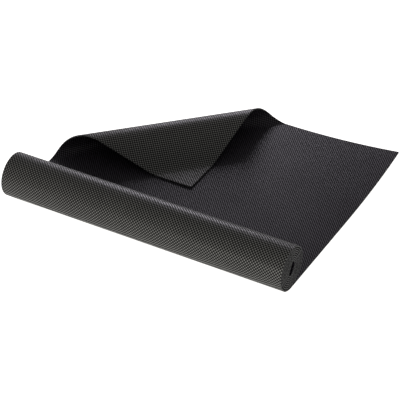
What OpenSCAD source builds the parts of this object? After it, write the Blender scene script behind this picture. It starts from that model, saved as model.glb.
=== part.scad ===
// Roll-up exercise mat, part rolled, with one corner folded over.
// One long sheet of PVC foam on a knitted scrim. It is divided only where it bends: half a lap of the
// roll, the folded corner and the lifted corner are strips, hinged on the face that is outermost.

/* [Sheet] */
// Length of the whole mat, unrolled
mat_length = 1730; // [1500:1:2100]
// Width of the mat, which is also the length of the roll
mat_width = 610; // [500:1:740]
// Thickness of the sheet, both foam layers and the scrim
sheet_t = 3.5; // [3:0.1:4.5]
// Thickness of the knitted scrim in the middle of the sheet
scrim_t = 0.3; // [0.2:0.05:0.5]
// Width of the cut between neighbouring strips
slit = 0.3; // [0.2:0.05:0.5]

/* [Roll] */
// Flat sheet, from under the roll's centre line to the far edge
flat_length = 474; // [470:1:620]
// Air between neighbouring laps of the roll
lap_gap = 0.9; // [0.5:0.1:1.5]
// Radius of the hole in the middle of the roll, before it is squashed
core_r = 7.3; // [5:0.1:12]
// How much the inner laps are squashed, as a share of the pitch
squash = 0.15; // [0:0.01:0.15]
// Lean of the squashed hole from upright, towards the flat sheet
squash_lean = 32; // [0:1:60]
// Number of strips in the outermost half lap
lap_strips = 8; // [8]

/* [Folded corner] */
// Radius of the first bend, where the sheet leaves the floor
lift_r = 22; // [18:0.5:26]
// Angle of the first bend
lift_angle = 110; // [100:1:120]
// Radius of the second bend, over the crest of the fold
crest_r = 36; // [32:0.5:43]
// Angle of the second bend
crest_angle = 102; // [96:1:108]
// Radius of the reverse bend, where the fold comes back to the sheet
settle_r = 36; // [28:1:44]
// Length of the flat tip beyond the reverse bend
tip_length = 54; // [44:1:66]
// Clearance between the folded tip and the sheet that it lies on
tip_rest = 0.4; // [0.3:0.1:2]
// Half width of the worn end of the corner
tip_blunt = 0.8; // [0.4:0.1:2]

/* [Lifted corner] */
// Distance of its crease from the corner, square to the crease
lift_reach = 150; // [110:1:180]
// Angle by which the corner stands up
lift_tilt = 5.9; // [2:0.1:10]

/* [Hidden] */
LAYERS = ["bottom_foam", "scrim", "top_foam"];
LAP_STRIPS = [for (i = [1:lap_strips]) str("lap_", i)];
CURL_STRIPS = [for (i = [1:6]) str("curl_", i)];
SECTIONS = concat(["flat", "lifted_corner"], LAP_STRIPS, ["core"], CURL_STRIPS, ["flap", "bend", "tip"]);
NODES = [for (section = SECTIONS) for (layer = LAYERS) str(section, "_", layer)];
node = "all";

foam_t = (sheet_t - scrim_t) / 2;
pitch = sheet_t + lap_gap;
rolled_length = mat_length - flat_length;
root2 = sqrt(2);
// radians to degrees
deg = 180 / PI;

// The rolled sheet fills a ring, so its length and pitch give the ring's area and the roll's radius.
hole_mid_r = core_r + sheet_t / 2;
roll_r = sheet_t / 2 + sqrt(hole_mid_r * hole_mid_r + rolled_length * pitch / PI);
roll_y = (roll_r - flat_length) / 2;
far_y = roll_y + flat_length;
roll_turns = (roll_r - sheet_t - core_r) / pitch;
lap_angle = 180 / lap_strips;
slit_angle = slit / roll_r * deg;
strip_steps = 4;
core_step = 9;

// Stretches of the folded corner, measured along the middle of the sheet from where it leaves the floor
settle_angle = lift_angle + crest_angle - 180;
fold_angle = lift_angle + crest_angle;
lift_len = lift_r * lift_angle / deg;
crest_len = crest_r * crest_angle / deg;
settle_len = settle_r * settle_angle / deg;
arcs_rise = lift_r * (1 - cos(lift_angle)) + crest_r * (cos(lift_angle) - cos(fold_angle))
    - settle_r * (1 + cos(fold_angle));
panel_len = (arcs_rise - sheet_t - tip_rest) / -sin(fold_angle);
crest_start = lift_len;
panel_start = crest_start + crest_len;
settle_start = panel_start + panel_len;
tip_start = settle_start + settle_len;
// Distance from the corner to the line where the sheet leaves the floor
fold_reach = tip_start + tip_length;

function layer_low(layer) = layer == "bottom_foam" ? 0 : layer == "scrim" ? foam_t : foam_t + scrim_t;
function layer_high(layer) = layer == "bottom_foam" ? foam_t : layer == "scrim" ? foam_t + scrim_t : sheet_t;
function layer_colour(layer) = layer == "scrim" ? "#56545a" : layer == "top_foam" ? "#34323a" : "#31312f";

// The roll seen from its end, as [y, z] about the line where it meets the floor. Front half laps have
// their centre at the roll's radius and back half laps half a pitch higher, which makes a spiral.
function half_lap(turn) = floor(turn / 180 + 1e-9);
function squash_at(turn) =
    let (r = roll_r - pitch * turn / 360, r_round = roll_r - pitch)
    turn < 360 ? 0 : squash * (r_round - r);
function outer_at(turn, side) =
    let (half = half_lap(side), r = roll_r - half * pitch / 2)
    let (centre = roll_r + (half % 2 == 1 ? pitch / 2 : 0))
    let (r_oval = r + squash_at(turn) * cos(2 * (turn - squash_lean)))
    [-r_oval * sin(turn), centre - r_oval * cos(turn)];
function roll_point(turn, depth) =
    let (a = outer_at(turn - 0.5, turn), b = outer_at(turn + 0.5, turn), run = b - a)
    let (inward = [run[1], -run[0]] / norm(run))
    outer_at(turn, turn) + inward * depth;
function roll_outline(turns, layer) = concat(
    [for (turn = turns) roll_point(turn, layer_low(layer))],
    [for (i = [len(turns) - 1:-1:0]) roll_point(turns[i], layer_high(layer))]);

// A point in the middle of the folded corner is [run, height, heading], and it moves on along an arc or a
// straight. A negative radius bends the other way.
function along_arc(p, r, run) =
    let (heading = p[2] + run / r * deg)
    [p[0] + r * (sin(heading) - sin(p[2])), p[1] + r * (cos(p[2]) - cos(heading)), heading];
function along_line(p, run) = [p[0] + run * cos(p[2]), p[1] + run * sin(p[2]), p[2]];
fold_begin = [0, sheet_t / 2, 0];
crest_begin = along_arc(fold_begin, lift_r, lift_len);
panel_begin = along_arc(crest_begin, crest_r, crest_len);
settle_begin = along_line(panel_begin, panel_len);
tip_begin = along_arc(settle_begin, -settle_r, settle_len);
function fold_at(s) =
    s < crest_start ? along_arc(fold_begin, lift_r, s) :
    s < panel_start ? along_arc(crest_begin, crest_r, s - crest_start) :
    s < settle_start ? along_line(panel_begin, s - panel_start) :
    s < tip_start ? along_arc(settle_begin, -settle_r, s - settle_start) :
    along_line(tip_begin, s - tip_start);
function fold_point(s, side, depth) =
    let (p = fold_at(s), up = depth - sheet_t / 2)
    [side * (fold_reach - s), p[0] - up * sin(p[2]), p[1] + up * cos(p[2])];

module coloured(layer) {
    color(layer_colour(layer)) children();
}

// A stretch of the roll from one turning angle to another
module roll_stretch(turns, layer) {
    coloured(layer)
        translate([-mat_width / 2, roll_y, 0])
            rotate([90, 0, 90])
                linear_extrude(mat_width) polygon(roll_outline(turns, layer));
}

// A stretch of the folded corner. Its ends are cut by the two edges of the mat, so it narrows to the tip.
module fold_stretch(from, to, steps, layer) {
    run = [for (i = [0:steps]) from + (to - from) * i / steps];
    low = layer_low(layer);
    high = layer_high(layer);
    points = [for (s = run) for (corner = [[-1, low], [1, low], [1, high], [-1, high]])
        fold_point(s, corner[0], corner[1])];
    sides = [for (i = [0:steps - 1]) let (k = 4 * i) for (face = [
        [k + 3, k + 7, k + 6, k + 2], [k, k + 1, k + 5, k + 4],
        [k + 1, k + 2, k + 6], [k + 1, k + 6, k + 5],
        [k, k + 4, k + 7], [k, k + 7, k + 3]]) face];
    last = 4 * steps;
    coloured(layer)
        translate([-mat_width / 2, far_y, 0])
            rotate(45)
                translate([0, -fold_reach, 0])
                    polyhedron(points, concat([[0, 3, 2, 1]], sides,
                        [[last, last + 1, last + 2, last + 3]]));
}

// Flat sheet, with the folded and the lifted corner cut away
module flat(layer) {
    left_cut = (fold_reach + slit / 2) * root2;
    right_cut = (lift_reach + slit / 2) * root2;
    half = mat_width / 2;
    coloured(layer)
        translate([0, 0, layer_low(layer)])
            linear_extrude(layer_high(layer) - layer_low(layer))
                polygon([[-half, roll_y + slit / 2], [half, roll_y + slit / 2], [half, far_y - right_cut],
                    [half - right_cut, far_y], [left_cut - half, far_y], [-half, far_y - left_cut]]);
}

// Corner that stands up a little, turned about the top of its crease
module lifted_corner(layer) {
    cut = (lift_reach - slit / 2) * root2;
    crease = [mat_width / 2 - cut / 2, far_y - cut / 2, sheet_t];
    coloured(layer)
        translate(crease)
            rotate(lift_tilt, [1, -1, 0])
                translate([0, 0, layer_low(layer) - sheet_t])
                    linear_extrude(layer_high(layer) - layer_low(layer))
                        polygon([[-cut / 2, cut / 2], [cut / 2, -cut / 2], [cut / 2, cut / 2]]);
}

// Strip of the outermost half lap, counted from the floor
module lap(number, layer) {
    from = (number - 1) * lap_angle + slit_angle / 2;
    to = number * lap_angle - slit_angle / 2;
    roll_stretch([for (i = [0:strip_steps]) from + (to - from) * i / strip_steps], layer);
}

// All the rest of the roll, wound inwards
module core(layer) {
    from = 180 + slit_angle / 2;
    to = roll_turns * 360;
    steps = ceil((to - from) / core_step);
    roll_stretch([for (i = [0:steps]) from + (to - from) * i / steps], layer);
}

// Strip of the folded corner's bends: three in the first bend and three over the crest
module curl(number, layer) {
    start = number <= 3 ? 0 : crest_start;
    share = (number <= 3 ? lift_len : crest_len) / 3;
    from = start + share * ((number - 1) % 3);
    fold_stretch(from + slit / 2, from + share - slit / 2, strip_steps, layer);
}

// Straight part of the fold, down from the crest
module flap(layer) {
    fold_stretch(panel_start + slit / 2, settle_start - slit / 2, 1, layer);
}

// Strip of the reverse bend
module bend(layer) {
    fold_stretch(settle_start + slit / 2, tip_start - slit / 2, strip_steps, layer);
}

// Tip of the corner, level just above the sheet
module tip(layer) {
    fold_stretch(tip_start + slit / 2, fold_reach - tip_blunt, 1, layer);
}

function wanted(section, layer) = node == "all" || node == str(section, "_", layer);

for (layer = LAYERS) {
    if (wanted("flat", layer)) flat(layer);
    if (wanted("lifted_corner", layer)) lifted_corner(layer);
    for (i = [1:lap_strips]) if (wanted(str("lap_", i), layer)) lap(i, layer);
    if (wanted("core", layer)) core(layer);
    for (i = [1:6]) if (wanted(str("curl_", i), layer)) curl(i, layer);
    if (wanted("flap", layer)) flap(layer);
    if (wanted("bend", layer)) bend(layer);
    if (wanted("tip", layer)) tip(layer);
}
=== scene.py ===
"""Roll-up exercise mat: part rolled, part flat, one corner folded over and one corner lifted.

The mat is one sheet of foam on a knitted scrim. Every piece below is a span of it, built from the same knit:
a grid of stitches that is numbered once over the whole flat mat and then laid flat, rolled or folded.
"""

import math

import bpy
import numpy as np
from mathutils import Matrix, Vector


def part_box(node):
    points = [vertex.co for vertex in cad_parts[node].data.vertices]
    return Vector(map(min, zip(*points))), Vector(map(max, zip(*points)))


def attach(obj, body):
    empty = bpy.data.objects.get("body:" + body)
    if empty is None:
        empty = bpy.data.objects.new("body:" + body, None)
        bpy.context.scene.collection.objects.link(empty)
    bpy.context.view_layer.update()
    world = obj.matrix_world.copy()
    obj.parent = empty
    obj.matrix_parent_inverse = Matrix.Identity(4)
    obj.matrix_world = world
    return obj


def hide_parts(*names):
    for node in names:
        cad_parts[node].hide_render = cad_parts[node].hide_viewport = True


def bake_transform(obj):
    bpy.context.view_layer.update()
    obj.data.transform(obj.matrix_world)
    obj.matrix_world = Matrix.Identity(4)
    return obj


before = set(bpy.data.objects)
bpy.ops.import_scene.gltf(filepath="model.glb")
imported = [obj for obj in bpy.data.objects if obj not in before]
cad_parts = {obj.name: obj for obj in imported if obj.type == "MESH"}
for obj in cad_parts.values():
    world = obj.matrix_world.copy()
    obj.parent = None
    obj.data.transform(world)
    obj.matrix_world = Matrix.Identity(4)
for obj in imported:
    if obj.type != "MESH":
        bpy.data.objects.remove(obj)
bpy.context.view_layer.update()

# Flat sheet
# The part that lies on the floor: closed-cell PVC foam formed on both sides of a knitted polyester scrim,
# so the knit shows in both faces. It is cut to size from a long web, and its edges are left bare.
MM = 0.001
SHEET_T = 3.5 * MM
SCRIM_T = 0.3 * MM
FOAM_T = (SHEET_T - SCRIM_T) / 2
SLIT = 0.3 * MM
flat_low, flat_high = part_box("flat_top_foam")
LEFT = flat_low[0]
WIDTH = flat_high[0] - flat_low[0]
ROLL_LINE = flat_low[1] - SLIT / 2
FAR = flat_high[1]
# The knit's stitches: a grid across the mat, and along it from the roll to the back edge
COLUMNS = 290
ROWS = 225
ACROSS = WIDTH / COLUMNS
ALONG = (FAR - ROLL_LINE) / ROWS
# Slanting rows are this far apart, and each is counted from a back corner. The folded corner and the lifted
# one share the back edge between them.
DIAGONAL = (ACROSS + ALONG) / 2 / math.sqrt(2)
FOLD_ROW = 174
LIFT_ROW = COLUMNS - FOLD_ROW
KNIT_DEPTH = 0.35 * MM
# Depth of each layer's skin and hidden side, measured from the under face of the mat
LAYERS = {
    "bottom_foam": (0.0, FOAM_T),
    "scrim": (FOAM_T + SCRIM_T, FOAM_T),
    "top_foam": (SHEET_T, FOAM_T + SCRIM_T),
}


def math_maker(tree):
    """Makes Math nodes in a tree from numbers and sockets."""
    def make(kind, *values):
        node = tree.nodes.new("ShaderNodeMath")
        node.operation = kind
        for socket, value in zip(node.inputs, values):
            if isinstance(value, bpy.types.NodeSocket):
                tree.links.new(value, socket)
            else:
                socket.default_value = value
        return node.outputs[0]
    return make


def knit_wave(make, place, given):
    """Height of the knit, from -1 in a pit to 1 on a dot. Each row of dots stands between those of the next.
    The third part of a place is 1 on a skin and 0 at its hidden side, where the relief ends."""
    across, along = (
        make("COSINE", make("MULTIPLY", make("DIVIDE", place.outputs[k], given.outputs[step]), math.pi))
        for k, step in ((0, "Step across"), (1, "Step along"))
    )
    return make("MULTIPLY", make("MULTIPLY", across, along), place.outputs[2])


def knit_effect():
    """Colour, roughness, gloss and height of the pressed knit, with foam grain and slight wear. Its colour
    is painted light and shade: lighter on the dots, near black in the pits.
    """
    grain_scale, wear_scale = 1400, 9
    grain_share, grain_height = 0.6, 0.12
    wear_range = (0.6, 1.4)
    group = bpy.data.node_groups.new("pressed_knit_effect", "ShaderNodeTree")
    face = group.interface
    for name, kind, value in (
        # Dot colour is painted light on the dot tops, and pit colour is painted shade in the pits
        ("Dot colour", "NodeSocketColor", (0.1, 0.1, 0.1, 1)),
        ("Pit colour", "NodeSocketColor", (0.01, 0.01, 0.01, 1)),
        ("Dot roughness", "NodeSocketFloat", 0.5),
        ("Pit roughness", "NodeSocketFloat", 0.9),
        ("Dot gloss", "NodeSocketFloat", 0.5),
        ("Sharpness", "NodeSocketFloat", 1.3),
        ("Step across", "NodeSocketFloat", ACROSS),
        ("Step along", "NodeSocketFloat", ALONG),
    ):
        face.new_socket(name, in_out="INPUT", socket_type=kind).default_value = value
    for name, kind in (("Colour", "Color"), ("Roughness", "Float"), ("Gloss", "Float"), ("Height", "Float")):
        face.new_socket(name, in_out="OUTPUT", socket_type="NodeSocket" + kind)
    new, join = group.nodes.new, group.links.new
    make = math_maker(group)
    given, out = new("NodeGroupInput"), new("NodeGroupOutput")
    spot, place = new("ShaderNodeAttribute"), new("ShaderNodeSeparateXYZ")
    spot.attribute_name = "flat_place"
    join(spot.outputs["Vector"], place.inputs[0])
    dot = make("MULTIPLY_ADD", knit_wave(make, place, given), 0.5, 0.5)
    raised = make("POWER", dot, given.outputs["Sharpness"])

    def noise(scale, detail):
        node = new("ShaderNodeTexNoise")
        node.inputs["Scale"].default_value = scale
        node.inputs["Detail"].default_value = detail
        join(spot.outputs["Vector"], node.inputs["Vector"])
        return node.outputs[0]

    grain, wear = noise(grain_scale, detail=2), noise(wear_scale, detail=3)
    level = new("ShaderNodeMapRange")
    for name, value in zip(("To Min", "To Max"), wear_range):
        level.inputs[name].default_value = value
    mixed = make("MULTIPLY_ADD", grain, grain_share, make("MULTIPLY", wear, 1 - grain_share))
    join(mixed, level.inputs["Value"])
    lit = make("MULTIPLY", raised, level.outputs[0])
    # The colour runs from the near-black pit colour, which is painted shade, to the dot colour, which is
    # painted light on the dot tops
    tint = new("ShaderNodeMix")
    tint.data_type = "RGBA"
    tint.clamp_factor = False
    rough = new("ShaderNodeMix")
    for mix, low, high, factor in ((tint, 6, 7, lit), (rough, 2, 3, raised)):
        kind = "colour" if mix is tint else "roughness"
        join(factor, mix.inputs["Factor"])
        join(given.outputs[f"Pit {kind}"], mix.inputs[low])
        join(given.outputs[f"Dot {kind}"], mix.inputs[high])
    join(tint.outputs[2], out.inputs["Colour"])
    join(rough.outputs[0], out.inputs["Roughness"])
    join(make("MULTIPLY", lit, given.outputs["Dot gloss"]), out.inputs["Gloss"])
    join(make("MULTIPLY_ADD", grain, grain_height, dot), out.inputs["Height"])
    return group


KNIT = knit_effect()
# Half the distance between dots in a row, across and along the mat. The under face has a wider knit.
PATTERN = {"top_foam": (1.25 * ACROSS, 1.5 * ALONG), "bottom_foam": (1.5 * ACROSS, 1.5 * ALONG)}


def foam_material(layer, painted_lit_dot_colour, painted_shade_pit_colour, dot_roughness, dot_gloss, sharpness):
    """Matt PVC foam with the knit pressed into it. The dots shine a little and the pits don't, and its
    colour is painted lighter on the dots and near black in the pits, as light and shade.
    """
    material = bpy.data.materials.new(layer)
    material.use_nodes = True
    tree = material.node_tree
    shader = tree.nodes["Principled BSDF"]
    shader.inputs["Specular IOR Level"].default_value = 0.06
    shader.inputs["Coat Roughness"].default_value = 0.38
    knit = tree.nodes.new("ShaderNodeGroup")
    knit.node_tree = KNIT
    across, along = PATTERN[layer]
    for name, value in (
        ("Dot colour", (*painted_lit_dot_colour, 1)), ("Pit colour", (*painted_shade_pit_colour, 1)), ("Dot roughness", dot_roughness),
        ("Dot gloss", dot_gloss), ("Sharpness", sharpness),
        ("Step across", across), ("Step along", along),
    ):
        knit.inputs[name].default_value = value
    relief = tree.nodes.new("ShaderNodeBump")
    relief.inputs["Distance"].default_value = KNIT_DEPTH
    tree.links.new(knit.outputs["Colour"], shader.inputs["Base Color"])
    tree.links.new(knit.outputs["Roughness"], shader.inputs["Roughness"])
    tree.links.new(knit.outputs["Gloss"], shader.inputs["Coat Weight"])
    tree.links.new(knit.outputs["Height"], relief.inputs["Height"])
    tree.links.new(relief.outputs["Normal"], shader.inputs["Normal"])
    return material


# Dot colours are painted light on the dot tops, and the near-black pit colours are painted shade in the
# pits.
FOAM = {
    # Both faces are the same black foam. The bottom face, seen on the roll's front, is painted paler and
    # olive, and the top face darker and violet: painted light for the warm light in front and the violet
    # lamp behind.
    "top_foam": foam_material(
        "top_foam", painted_lit_dot_colour=(0.066, 0.058, 0.075), painted_shade_pit_colour=(0.001, 0.001, 0.001),
        dot_roughness=0.6, dot_gloss=0.75, sharpness=2.8),
    "bottom_foam": foam_material(
        "bottom_foam", painted_lit_dot_colour=(0.190, 0.188, 0.181), painted_shade_pit_colour=(0.002, 0.002, 0.002),
        dot_roughness=0.55, dot_gloss=1.0, sharpness=2.7),
}


def cut_foam():
    """Bare cut edge of the foam: paler open cells inside, and darker towards each skin, partly the denser
    skin and partly painted shade for the dark gaps between laps.
    """
    cell_scale, cell_noise, cell_tone = 1500, (0.3, 0.7), (0.16, 0.28)
    # The cut face darkens towards each skin: partly the foam's denser skin, partly painted shade that widens
    # the dark gaps between the laps of the roll.
    skin_depth, skin_and_painted_shade_tone = (0.02, 0.35), (1.0, 0.01)
    pore_depth = 0.15 * MM
    material = bpy.data.materials.new("cut_foam")
    material.use_nodes = True
    tree = material.node_tree
    new, join = tree.nodes.new, tree.links.new
    shader = tree.nodes["Principled BSDF"]
    shader.inputs["Specular IOR Level"].default_value = 0.04
    shader.inputs["Roughness"].default_value = 0.8
    position, cells = new("ShaderNodeTexCoord"), new("ShaderNodeTexNoise")
    cells.inputs["Scale"].default_value = cell_scale
    join(position.outputs["Object"], cells.inputs["Vector"])
    spot, place = new("ShaderNodeAttribute"), new("ShaderNodeSeparateXYZ")
    spot.attribute_name = "flat_place"
    join(spot.outputs["Vector"], place.inputs[0])
    tones = []
    for source, span, shade in (
        (cells.outputs[0], cell_noise, cell_tone), (place.outputs[2], skin_depth, skin_and_painted_shade_tone),
    ):
        tone = new("ShaderNodeMapRange")
        for name, value in zip(("From Min", "From Max", "To Min", "To Max"), span + shade):
            tone.inputs[name].default_value = value
        join(source, tone.inputs["Value"])
        tones.append(tone.outputs[0])
    join(math_maker(tree)("MULTIPLY", *tones), shader.inputs["Base Color"])
    pores = new("ShaderNodeBump")
    pores.inputs["Distance"].default_value = pore_depth
    join(cells.outputs[0], pores.inputs["Height"])
    join(pores.outputs["Normal"], shader.inputs["Normal"])
    return material


def scrim_yarn():
    """Knitted polyester scrim, seen as a thin line of yarn ends along the cut edges."""
    yarn_scale, yarn_tone = 900, (0.075, 0.020)
    material = bpy.data.materials.new("scrim_yarn")
    material.use_nodes = True
    tree = material.node_tree
    shader = tree.nodes["Principled BSDF"]
    shader.inputs["Roughness"].default_value = 0.8
    place, yarn = tree.nodes.new("ShaderNodeTexCoord"), tree.nodes.new("ShaderNodeTexVoronoi")
    yarn.inputs["Scale"].default_value = yarn_scale
    tree.links.new(place.outputs["Object"], yarn.inputs["Vector"])
    tone = tree.nodes.new("ShaderNodeMapRange")
    for name, value in zip(("To Min", "To Max"), yarn_tone):
        tone.inputs[name].default_value = value
    tree.links.new(yarn.outputs["Distance"], tone.inputs["Value"])
    tree.links.new(tone.outputs[0], shader.inputs["Base Color"])
    return material


CUT_FOAM, SCRIM_YARN = cut_foam(), scrim_yarn()


def press_tree():
    """Presses the knit into a skin: each point sinks inwards by its place between the dots."""
    tree = bpy.data.node_groups.new("press_knit", "GeometryNodeTree")
    face = tree.interface
    face.new_socket("Geometry", in_out="INPUT", socket_type="NodeSocketGeometry")
    for name, value in (("Step across", ACROSS), ("Step along", ALONG), ("Depth", KNIT_DEPTH)):
        face.new_socket(name, in_out="INPUT", socket_type="NodeSocketFloat").default_value = value
    for name in ("Foam", "Cut edge"):
        face.new_socket(name, in_out="INPUT", socket_type="NodeSocketMaterial")
    face.new_socket("Geometry", in_out="OUTPUT", socket_type="NodeSocketGeometry")
    new, join = tree.nodes.new, tree.links.new
    make = math_maker(tree)
    given, out = new("NodeGroupInput"), new("NodeGroupOutput")

    def named(attribute, kind):
        node = new("GeometryNodeInputNamedAttribute")
        node.data_type = kind
        node.inputs["Name"].default_value = attribute
        return node.outputs[0]

    place = new("ShaderNodeSeparateXYZ")
    join(named("flat_place", "FLOAT_VECTOR"), place.inputs[0])
    below_dot = make("MULTIPLY_ADD", knit_wave(make, place, given), 0.5, -0.5)
    below_dot = make("MULTIPLY", below_dot, place.outputs[2])
    push = new("ShaderNodeVectorMath")
    push.operation = "SCALE"
    join(named("outward", "FLOAT_VECTOR"), push.inputs[0])
    join(make("MULTIPLY", below_dot, given.outputs["Depth"]), push.inputs["Scale"])
    move = new("GeometryNodeSetPosition")
    join(given.outputs["Geometry"], move.inputs["Geometry"])
    join(push.outputs[0], move.inputs["Offset"])
    real = new("GeometryNodeRealizeInstances")
    join(move.outputs[0], real.inputs[0])
    skin, edge = new("GeometryNodeSetMaterial"), new("GeometryNodeSetMaterial")
    join(real.outputs[0], skin.inputs["Geometry"])
    join(given.outputs["Foam"], skin.inputs["Material"])
    join(skin.outputs[0], edge.inputs["Geometry"])
    join(named("cut", "BOOLEAN"), edge.inputs["Selection"])
    join(given.outputs["Cut edge"], edge.inputs["Material"])
    join(edge.outputs[0], out.inputs[0])
    return tree


PRESS = press_tree()


def rim_of(faces):
    """Directed edges that only one face has, as (from, to) rows."""
    edges = np.concatenate([np.stack([f, np.roll(f, -1, 1)], 2).reshape(-1, 2) for f in faces])
    size = edges.max() + 1
    return edges[~np.isin(edges[:, 0] * size + edges[:, 1], edges[:, 1] * size + edges[:, 0])]


def loop_of(rim):
    """The rim's points in order."""
    onward = dict(rim.tolist())
    loop = [int(rim[0, 0])]
    while onward[loop[-1]] != loop[0]:
        loop.append(onward[loop[-1]])
    return loop


def layer_piece(name, layer, spots, faces, backs, place):
    """One layer of a span as a closed solid. spots are places on the flat mat in knit steps, faces are its
    skin and backs its hidden side, which uses only points of the rim. place puts them in space."""
    skin_depth, back_depth = LAYERS[layer]
    rim = rim_of(faces)
    rim_points = np.unique(rim)
    back_of = {int(p): len(spots) + k for k, p in enumerate(rim_points)}
    flat = spots * (ACROSS, ALONG)
    skin = place(flat, skin_depth)
    back = place(flat[rim_points], back_depth)
    outward = skin - place(flat, back_depth)
    outward /= np.linalg.norm(outward, axis=1)[:, None]
    skins = [list(f) for group in faces for f in group.tolist()]
    walls = [[b, a, back_of[a], back_of[b]] for a, b in rim.tolist()]
    hidden = [[back_of[p] for p in f[::-1]] for f in backs]
    polygons = skins + walls + hidden
    if layer == "bottom_foam":
        polygons = [f[::-1] for f in polygons]
    mesh = bpy.data.meshes.new(name)
    mesh.from_pydata(np.concatenate([skin, back]).tolist(), [], polygons)
    mesh.update()
    piece = bpy.data.objects.new(name, mesh)
    bpy.context.scene.collection.objects.link(piece)
    if layer == "scrim":
        mesh.materials.append(SCRIM_YARN)
        return piece
    knit = np.zeros((len(mesh.vertices), 3), np.float32)
    knit[: len(spots)] = np.column_stack([flat, np.ones(len(spots))])
    knit[len(spots):, :2] = flat[rim_points]
    normal = np.zeros_like(knit)
    normal[: len(spots)] = outward
    for attribute, values in (("flat_place", knit), ("outward", normal)):
        mesh.attributes.new(attribute, "FLOAT_VECTOR", "POINT").data.foreach_set("vector", values.ravel())
    is_wall = np.zeros(len(polygons), bool)
    is_wall[len(skins): len(skins) + len(walls)] = True
    mesh.attributes.new("cut", "BOOLEAN", "FACE").data.foreach_set("value", is_wall)
    is_skin = np.arange(len(polygons)) < len(skins)
    mesh.polygons.foreach_set("use_smooth", is_skin)
    modifier = piece.modifiers.new("press", "NODES")
    modifier.node_group = PRESS
    sockets = {s.name: s.identifier for s in PRESS.interface.items_tree if s.in_out == "INPUT"}
    for name, value in zip(("Step across", "Step along"), PATTERN[layer]):
        modifier[sockets[name]] = value
    modifier[sockets["Foam"]] = FOAM[layer]
    modifier[sockets["Cut edge"]] = CUT_FOAM
    bpy.context.view_layer.update()
    pressed = bpy.data.meshes.new_from_object(piece.evaluated_get(bpy.context.evaluated_depsgraph_get()))
    piece.modifiers.clear()
    piece.data = pressed
    pressed.name = name
    bpy.data.meshes.remove(mesh)
    corners = np.empty(len(pressed.loops), np.int32)
    pressed.loops.foreach_get("vertex_index", corners)
    in_skin = np.repeat(is_skin, [len(f) for f in polygons])
    smooth = np.where(in_skin[:, None], normal[corners], 0)
    pressed.normals_split_custom_set(smooth)
    return piece


def squares(first, last, holds=lambda across, along: True):
    """Skin of the rows from first to last: each square of the knit has four faces about its middle."""
    count = last - first
    node = np.arange((count + 1) * (COLUMNS + 1)).reshape(count + 1, COLUMNS + 1)
    middle = node.size + np.arange(count * COLUMNS).reshape(count, COLUMNS)
    corner = [node[:-1, :-1], node[:-1, 1:], node[1:, 1:], node[1:, :-1]]
    faces = np.concatenate([
        np.stack([corner[k], corner[(k + 1) % 4], middle], 2).reshape(-1, 3) for k in range(4)
    ])
    grid = np.stack(np.meshgrid(np.arange(COLUMNS + 1), np.arange(first, last + 1)), 2).reshape(-1, 2)
    half = np.stack(np.meshgrid(np.arange(COLUMNS), np.arange(first, last)), 2).reshape(-1, 2) + 0.5
    spots = np.concatenate([grid, half]).astype(float)
    inside = spots[faces].mean(1)
    faces = faces[np.broadcast_to(holds(inside[:, 0], inside[:, 1]), len(faces))]
    kept, faces = np.unique(faces, return_inverse=True)
    return spots[kept], [faces.reshape(-1, 3)]


def flat_place(flat, depth):
    """Lying on the floor."""
    return np.column_stack([LEFT + flat[:, 0], ROLL_LINE + flat[:, 1], np.full(len(flat), depth)])


def in_flat_sheet(across, along):
    """True between the roll, the folded corner and the lifted corner."""
    from_far = ROWS - along
    return (across + from_far > FOLD_ROW) & (COLUMNS - across + from_far > LIFT_ROW)


# The flat sheet's piece begins a few rows behind the roll, and the roll's first span reaches back to it
ROLL_START = 4
spots, faces = squares(ROLL_START, ROWS, in_flat_sheet)
outline = np.array([
    (0, ROLL_START), (COLUMNS, ROLL_START), (COLUMNS, ROWS - LIFT_ROW),
    (FOLD_ROW, ROWS), (0, ROWS - FOLD_ROW),
], float)
for layer in LAYERS:
    if layer == "scrim":
        ring = np.arange(len(outline))
        piece = layer_piece("flat_scrim", layer, outline, [ring[None, :]], [ring.tolist()], flat_place)
    else:
        piece = layer_piece(f"flat_{layer}", layer, spots, faces, [loop_of(rim_of(faces))], flat_place)
    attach(piece, "root")
    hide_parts(f"flat_{layer}")

# Outermost half lap of the roll
# The sheet leaves the floor under the roll and goes up over its front to the top. It is the part that can
# be unrolled, so it is made in short spans, each from halfway along one strip of the frame to halfway along
# the next.
ROLL_R = 44.657 * MM
PITCH = SHEET_T + 0.9 * MM
ROLL_TURNS = 7.6948
# The inner laps are oval, by this share of their depth in the roll, and longest at this turn in degrees
SQUASH = 0.15
SQUASH_LEAN = 32
LAP_STRIPS = 8
STRIP_ROWS = 8
HALF_LAP_ROWS = LAP_STRIPS * STRIP_ROWS
# Lets a turn of exactly half a lap count as the start of the next half
ROUNDING = 1e-9


def roll_outer(turn, half):
    """The roll's outer face, as (y, z) columns about the line where it meets the floor."""
    squash = np.where(turn < 360, 0, SQUASH * (PITCH * turn / 360 - PITCH))
    oval = ROLL_R - half * PITCH / 2 + squash * np.cos(np.radians(2 * (turn - SQUASH_LEAN)))
    centre = ROLL_R + np.where(half % 2 == 1, PITCH / 2, 0)
    return np.column_stack([-oval * np.sin(np.radians(turn)), centre - oval * np.cos(np.radians(turn))])


def roll_point(turn, depth):
    """A point of the roll, depth below its outer face."""
    half = np.floor(turn / 180 + ROUNDING)
    run = roll_outer(turn + 0.5, half) - roll_outer(turn - 0.5, half)
    inward = np.column_stack([run[:, 1], -run[:, 0]]) / np.linalg.norm(run, axis=1)[:, None]
    return roll_outer(turn, half) + inward * depth


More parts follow.
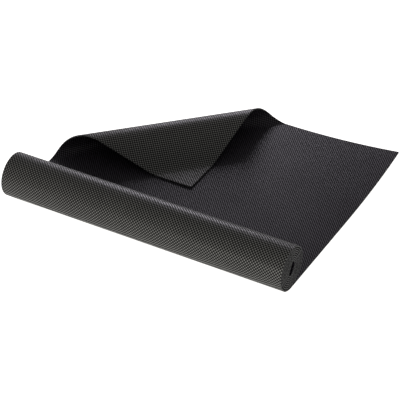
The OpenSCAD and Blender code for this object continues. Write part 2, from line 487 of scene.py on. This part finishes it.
# Turning angle at each row of the knit, wound from the floor to the middle of the roll
row_turns = [k * 180 / HALF_LAP_ROWS for k in range(HALF_LAP_ROWS + 1)]
while row_turns[-1] < ROLL_TURNS * 360:
    (middle_y, middle_z), = roll_point(np.array(row_turns[-1:]), SHEET_T / 2)
    centre = ROLL_R + (PITCH / 2 if int(row_turns[-1] / 180 + ROUNDING) % 2 else 0)
    row_turns.append(row_turns[-1] + math.degrees(ALONG / math.hypot(middle_y, middle_z - centre)))
row_turns[-1] = ROLL_TURNS * 360
row_turns = np.array(row_turns)


def roll_place(flat, depth):
    """On the roll, or flat on the floor in front of it."""
    turn = np.interp(-flat[:, 1] / ALONG, np.arange(len(row_turns)), row_turns)
    rolled = roll_point(turn, depth)
    lying = flat[:, 1] >= 0
    return np.column_stack([
        LEFT + flat[:, 0],
        ROLL_LINE + np.where(lying, flat[:, 1], rolled[:, 0]),
        np.where(lying, depth, rolled[:, 1]),
    ])


def between(rows):
    """Faces between neighbouring rows of points, each row from left to right."""
    return [[*near, *far[::-1]] for near, far in zip(rows, rows[1:])]


def row_rim(spots, first, last):
    """The points of each row of squares that are on its rim: all of them in the end rows."""
    rows = []
    for row in range(first, last + 1):
        found = np.flatnonzero(spots[:, 1] == row)
        found = found[np.argsort(spots[found, 0])].tolist()
        rows.append(found if row in (first, last) else [found[0], found[-1]])
    return rows


def edge_strip(rows):
    """Two points a row, for a layer or a side that has no relief."""
    spots = np.array([(across, row) for row in rows for across in (0, COLUMNS)], float)
    pairs = [[2 * k, 2 * k + 1] for k in range(len(rows))]
    return spots, [np.array(between(pairs))], between(pairs)


def halfway(row):
    """The middle of the rolled sheet at a row."""
    return tuple(roll_place(np.array([(WIDTH / 2, row * ALONG)]), SHEET_T / 2)[0])


bodies = ["root"] + [f"lap_{k}" for k in range(1, LAP_STRIPS + 1)] + ["core"]
# The rows where one span ends and the next begins, halfway along the strips
ends = [ROLL_START] + [-STRIP_ROWS // 2 - k * STRIP_ROWS for k in range(LAP_STRIPS + 1)]
for before, body, last, first in zip(bodies, bodies[1:], ends, ends[1:]):
    span = "roll_top" if body == "core" else body
    for layer in LAYERS:
        if layer == "scrim":
            spots, faces, backs = edge_strip(range(first, last + 1))
        else:
            spots, faces = squares(first, last)
            backs = between(row_rim(spots, first, last))
        piece = layer_piece(f"{span}_{layer}", layer, spots, faces, backs, roll_place)
        halfway(last)
        halfway(first)
        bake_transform(piece)
        if body != "core":
            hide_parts(f"{body}_{layer}")

# Rest of the roll
# All the laps inside the outermost half lap, wound towards the middle with a little air between them. The
# first full lap shows from behind and when the mat is opened, so only that one needs the knit in its skin.
LAP_END_TURN = 180 + 360
LAP_END = -int(np.searchsorted(row_turns, LAP_END_TURN))
CORE_END = -(len(row_turns) - 1)
# The laps further in have no knit, and a point at every third row is enough
WOUND_STEP = 3
for span, last, first in (("core_lap", ends[-1], LAP_END), ("core_wound", LAP_END, CORE_END)):
    for layer in LAYERS:
        if layer == "bottom_foam" and span == "core_lap":
            spots, faces = squares(first, last)
            backs = between(row_rim(spots, first, last))
        else:
            step = 1 if span == "core_lap" else WOUND_STEP
            spots, faces, backs = edge_strip([first, *range(first + 1, last, step), last])
        piece = layer_piece(f"{span}_{layer}", layer, spots, faces, backs, roll_place)
        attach(piece, "core")
        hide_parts(f"core_{layer}")

# Folded corner
# The back left corner is turned over on a slanting crease. The sheet lifts off the floor, goes over a round
# crest, comes down straight and bends back, so that the tip lies level on the sheet.
LIFT_R, LIFT_ANGLE = 22 * MM, 110
CREST_R, CREST_ANGLE = 36 * MM, 102
SETTLE_R, TIP_LENGTH, TIP_REST = 36 * MM, 54 * MM, 0.4 * MM
SETTLE_ANGLE = LIFT_ANGLE + CREST_ANGLE - 180
lift_len = LIFT_R * math.radians(LIFT_ANGLE)
crest_len = CREST_R * math.radians(CREST_ANGLE)
settle_len = SETTLE_R * math.radians(SETTLE_ANGLE)


def cosine(angle):
    return math.cos(math.radians(angle))


OVER_CREST = LIFT_ANGLE + CREST_ANGLE
rise = (LIFT_R * (1 - cosine(LIFT_ANGLE)) + CREST_R * (cosine(LIFT_ANGLE) - cosine(OVER_CREST))
        - SETTLE_R * (1 + cosine(OVER_CREST)))
flap_len = (rise - SHEET_T - TIP_REST) / -math.sin(math.radians(OVER_CREST))
# Each stretch of the fold as (length, radius), with no radius where it is straight
STRETCHES = [
    (lift_len, LIFT_R), (crest_len, CREST_R), (flap_len, None), (settle_len, -SETTLE_R), (TIP_LENGTH, None),
]
FOLD_REACH = sum(length for length, _ in STRETCHES)


def fold_middle(run):
    """The middle of the sheet as (distance, height, heading), run along it from its rise off the floor."""
    at, up, heading = np.minimum(run, 0), np.full(len(run), SHEET_T / 2), np.zeros(len(run))
    start = 0
    for length, radius in STRETCHES:
        part = np.clip(run - start, 0, length)
        start += length
        if radius is None:
            at, up = at + part * np.cos(heading), up + part * np.sin(heading)
        else:
            turned = heading + part / radius
            at = at + radius * (np.sin(turned) - np.sin(heading))
            up = up + radius * (np.cos(heading) - np.cos(turned))
            heading = turned
    return at, up, heading


def fold_place(flat, depth):
    """On the folded corner, or flat on the floor beside it."""
    from_left, from_far = flat[:, 0], FAR - ROLL_LINE - flat[:, 1]
    run = FOLD_REACH - (from_left + from_far) / math.sqrt(2)
    side = (from_left - from_far) / math.sqrt(2)
    at, up, heading = fold_middle(run)
    ahead = at - (depth - SHEET_T / 2) * np.sin(heading) - FOLD_REACH
    height = up + (depth - SHEET_T / 2) * np.cos(heading)
    return np.column_stack([
        LEFT + (side - ahead) / math.sqrt(2), FAR + (side + ahead) / math.sqrt(2), height,
    ])


def slanting(first, last, right=False, relief=True):
    """Skin of the slanting rows between first and last, counted from a back corner of the mat. Each row
    runs from left to right. Without relief it has only the two points at its ends."""
    spots, rows, faces, ends_only = [], [], [], []
    for row in range(last, first - 1, -1):
        steps = np.arange(2 * row + 1) if relief else np.array(sorted({0, 2 * row}))
        beside, behind = (COLUMNS - row + steps / 2, steps / 2) if right else (steps / 2, row - steps / 2)
        ids = np.arange(len(steps)) + sum(map(len, spots))
        spots.append(np.column_stack([beside, ROWS - behind]))
        if rows and relief:
            wide = rows[-1]
            faces.append(np.stack([wide[1:-2], wide[2:-1], ids[1:], ids[:-1]], 1))
            faces.append(np.array([[wide[0], wide[1], ids[0]], [wide[-2], wide[-1], ids[-1]]]))
        rows.append(ids)
    for k, ids in enumerate(rows):
        full = k in (0, len(rows) - 1)
        ends_only.append(ids.tolist() if full else [int(ids[0]), int(ids[-1])])
    if not relief:
        faces = [np.array([f]) for f in between(ends_only)]
    return np.concatenate(spots), [f for f in faces if len(f)], between(ends_only)


flap_start = lift_len + crest_len
bend_start = flap_start + flap_len
# The lift and the crest have three strips each, and the pieces meet halfway along every strip
middles = [lift_len / 6, lift_len / 2, lift_len * 5 / 6,
           lift_len + crest_len / 6, lift_len + crest_len / 2, lift_len + crest_len * 5 / 6,
           flap_start + flap_len / 2, bend_start + settle_len / 2]
fold_rows = [FOLD_ROW] + [round((FOLD_REACH - run) / DIAGONAL) for run in middles] + [1]
bodies = ["root"] + [f"curl_{k}" for k in range(1, 7)] + ["flap", "bend", "tip"]
for k, body in enumerate(bodies[1:]):
    for layer in LAYERS:
        first, last = fold_rows[k + 1], fold_rows[k]
        spots, faces, backs = slanting(first, last, relief=layer != "scrim")
        piece = layer_piece(f"{body}_{layer}", layer, spots, faces, backs, fold_place)
        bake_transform(piece)
        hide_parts(f"{body}_{layer}")

# Lifted corner
# The back right corner stands up a little, because the mat has been stored rolled. It rises in an even
# curve from the floor.
LIFT_HEIGHT = 17 * MM
LIFT_REACH = LIFT_ROW * DIAGONAL
# A place on the corner, this far from its tip
LEVEL_BY = 80 * MM


def corner_place(flat, depth):
    """On the lifted corner. The curve keeps its length, so the corner draws in a little."""
    from_right, from_far = WIDTH - flat[:, 0], FAR - ROLL_LINE - flat[:, 1]
    side = (from_right - from_far) / math.sqrt(2)
    run = np.maximum(LIFT_REACH - (from_right + from_far) / math.sqrt(2), 0)
    curve = LIFT_HEIGHT / LIFT_REACH ** 2
    short = 2 / 3 * curve ** 2 * run ** 3
    tilt = np.arctan(2 * curve * run)
    ahead = run - short - LIFT_REACH - depth * np.sin(tilt)
    ahead = np.where(run > 0, ahead, -(from_right + from_far) / math.sqrt(2))
    height = curve * run ** 2 + depth * np.cos(tilt)
    return np.column_stack([
        LEFT + WIDTH - (side - ahead) / math.sqrt(2), FAR + (side + ahead) / math.sqrt(2), height,
    ])


def corner_spot(reach):
    """The middle of the lifted corner at a distance from its tip."""
    reach /= math.sqrt(2)
    return tuple(corner_place(np.array([(WIDTH - reach, FAR - ROLL_LINE - reach)]), SHEET_T / 2)[0])


for layer in LAYERS:
    spots, faces, backs = slanting(0, LIFT_ROW, right=True, relief=layer != "scrim")
    piece = layer_piece(f"lifted_corner_{layer}", layer, spots, faces, backs, corner_place)
    corner_spot(LIFT_REACH)
    corner_spot(LEVEL_BY)
    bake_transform(piece)
    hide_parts(f"lifted_corner_{layer}")

# Studio
# A plain white floor under soft light: an even pale surround, a cool lamp low behind the mat, which draws
# the highlight along the top of the roll, and a warm one low in front, which shows the knit on its front.
FLOOR_HALF, FLOOR_Z = 60.0, -0.2 * MM
WARM_WHITE = (1.0, 0.99, 0.97, 1)
SURROUND = 0.35
floor_corners = [(x * FLOOR_HALF, y * FLOOR_HALF, FLOOR_Z) for x, y in ((-1, -1), (1, -1), (1, 1), (-1, 1))]
floor_mesh = bpy.data.meshes.new("floor")
floor_mesh.from_pydata(floor_corners, [], [(0, 1, 2, 3)])
floor = bpy.data.objects.new("floor", floor_mesh)
bpy.context.scene.collection.objects.link(floor)
paper = bpy.data.materials.new("white_paper")
paper.use_nodes = True
for name, value in (
    ("Base Color", (0.9, 0.9, 0.9, 1)), ("Roughness", 0.9),
    ("Emission Color", WARM_WHITE), ("Emission Strength", 1.0),
):
    paper.node_tree.nodes["Principled BSDF"].inputs[name].default_value = value
floor_mesh.materials.append(paper)

world = bpy.data.worlds.new("studio")
world.use_nodes = True
world.node_tree.nodes["Background"].inputs["Color"].default_value = WARM_WHITE
world.node_tree.nodes["Background"].inputs["Strength"].default_value = SURROUND
bpy.context.scene.world = world


def lamp(name, place, aim, size, power, colour):
    """A square soft box that faces its aim."""
    light = bpy.data.lights.new(name, "AREA")
    light.size, light.energy, light.color = size, power, colour
    holder = bpy.data.objects.new(name, light)
    bpy.context.scene.collection.objects.link(holder)
    holder.location = place
    away = np.subtract(place, aim)
    across = math.hypot(away[0], away[1])
    holder.rotation_euler = (math.atan2(across, away[2]), 0, math.atan2(away[0], -away[1]))


lamp("back_lamp", place=(-0.8, 1.5, 0.65), aim=(0, 0, 0), size=0.7, power=14.5, colour=(0.94, 0.89, 1.0))
lamp("front_lamp", place=(0, -2.6, 0.15), aim=(0, -0.2, 0), size=1.2, power=34, colour=(1.0, 0.98, 0.9))

camera = bpy.data.cameras.new("camera")
camera.sensor_width = 36
camera.lens = 162.96
viewer = bpy.data.objects.new("camera", camera)
bpy.context.scene.collection.objects.link(viewer)
AZIMUTH, ELEVATION, DISTANCE = math.radians(29.6), math.radians(35.95), 3.544
AIM = (0.0239, -0.0586, 0)
viewer.location = (
    AIM[0] + DISTANCE * math.sin(AZIMUTH) * math.cos(ELEVATION),
    AIM[1] - DISTANCE * math.cos(AZIMUTH) * math.cos(ELEVATION),
    AIM[2] + DISTANCE * math.sin(ELEVATION),
)
viewer.rotation_euler = (math.pi / 2 - ELEVATION, 0, AZIMUTH)
bpy.context.scene.camera = viewer
bpy.context.scene.view_settings.view_transform = "Standard"
